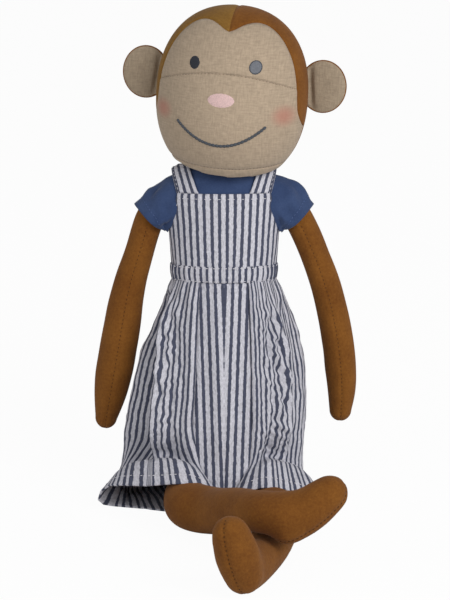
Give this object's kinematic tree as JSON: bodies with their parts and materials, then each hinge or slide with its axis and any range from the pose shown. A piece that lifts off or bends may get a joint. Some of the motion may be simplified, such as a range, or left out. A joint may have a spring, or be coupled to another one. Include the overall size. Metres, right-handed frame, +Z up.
{
  "type": "plush monkey",
  "caption": "Seated cloth monkey with a linen face, a jersey body, a T-shirt and striped dungarees; head, ears, arms and legs move",
  "frame": {"origin": "on the floor under the middle of the seat", "axes": "+Z up, -Y the way the monkey faces, -X its own right side"},
  "size_m": [0.1645, 0.2474, 0.3103],
  "materials": {
    "brown_jersey": "soft brushed knit",
    "stuffing": "fibre fill",
    "shirt_cotton": "plain cotton jersey",
    "striped_cotton": "narrow woven stripes, off-white and navy",
    "elastic": "woven band",
    "linen": "plain weave",
    "pink_thread": "satin stitch",
    "slate_thread": "satin and chain stitch"
  },
  "bodies": {
    "torso": {"body_cover": "brown_jersey", "body_stuffing": "stuffing", "shirt_body": "shirt_cotton", "shirt_neckband": "shirt_cotton", "bib": "striped_cotton", "back_panel": "striped_cotton", "right_strap": "striped_cotton", "left_strap": "striped_cotton", "waistband": "striped_cotton", "waist_elastic": "elastic", "right_trouser_leg": "striped_cotton", "left_trouser_leg": "striped_cotton"},
    "neck": {"neck": "brown_jersey"},
    "head": {"right_cap": "brown_jersey", "left_cap": "brown_jersey", "face_upper_panel": "linen", "face_lower_panel": "linen", "chin_panel": "linen", "head_stuffing": "stuffing", "right_eye": "slate_thread", "left_eye": "slate_thread", "nose": "pink_thread", "mouth": "slate_thread"},
    "right_ear": {"right_ear_front": "linen", "right_ear_back": "brown_jersey"},
    "right_arm": {"right_arm_cover": "brown_jersey", "right_arm_stuffing": "stuffing", "right_sleeve": "shirt_cotton"},
    "right_leg": {"right_leg_cover": "brown_jersey", "right_leg_stuffing": "stuffing"},
    "left_ear": {"left_ear_front": "linen", "left_ear_back": "brown_jersey"},
    "left_arm": {"left_arm_cover": "brown_jersey", "left_arm_stuffing": "stuffing", "left_sleeve": "shirt_cotton"},
    "left_leg": {"left_leg_cover": "brown_jersey", "left_leg_stuffing": "stuffing"}
  },
  "joints": [
    {"name": "neck_nod", "type": "hinge", "parent": "torso", "child": "neck", "pos_m": [0, 0.02657, 0.21638], "axis": [1, 0, 0], "range_deg": [-8, 8], "stiffness_Nm_per_rad": 0.6},
    {"name": "neck_turn", "type": "hinge", "parent": "neck", "child": "head", "pos_m": [0, 0.02657, 0.21638], "axis": [0, 0.1219, 0.9925], "range_deg": [-20, 20], "stiffness_Nm_per_rad": 0.3},
    {"name": "right_ear_fold", "type": "hinge", "parent": "head", "child": "right_ear", "pos_m": [-0.04063, 0.03689, 0.26701], "axis": [0.0628, 0.0174, 0.9979], "range_deg": [-15, 15], "stiffness_Nm_per_rad": 0.005},
    {"name": "left_ear_fold", "type": "hinge", "parent": "head", "child": "left_ear", "pos_m": [0.05301, 0.02193, 0.26138], "axis": [0.0628, 0.0174, 0.9979], "range_deg": [-15, 15], "stiffness_Nm_per_rad": 0.005},
    {"name": "right_shoulder", "type": "hinge", "parent": "torso", "child": "right_arm", "pos_m": [-0.0341, 0.02267, 0.18461], "axis": [-1, 0, 0], "range_deg": [-40, 100]},
    {"name": "left_shoulder", "type": "hinge", "parent": "torso", "child": "left_arm", "pos_m": [0.0341, 0.02267, 0.18461], "axis": [-1, 0, 0], "range_deg": [-40, 100]},
    {"name": "right_hip", "type": "hinge", "parent": "torso", "child": "right_leg", "pos_m": [-0.019, -0.016, 0.0147], "axis": [-1, 0, 0], "range_deg": [0, 40], "deforming": ["right_trouser_leg", "left_trouser_leg"]},
    {"name": "left_hip", "type": "hinge", "parent": "torso", "child": "left_leg", "pos_m": [0.019, -0.016, 0.0147], "axis": [-1, 0, 0], "range_deg": [-50, 0], "deforming": ["left_trouser_leg", "right_trouser_leg"]}
  ]
}
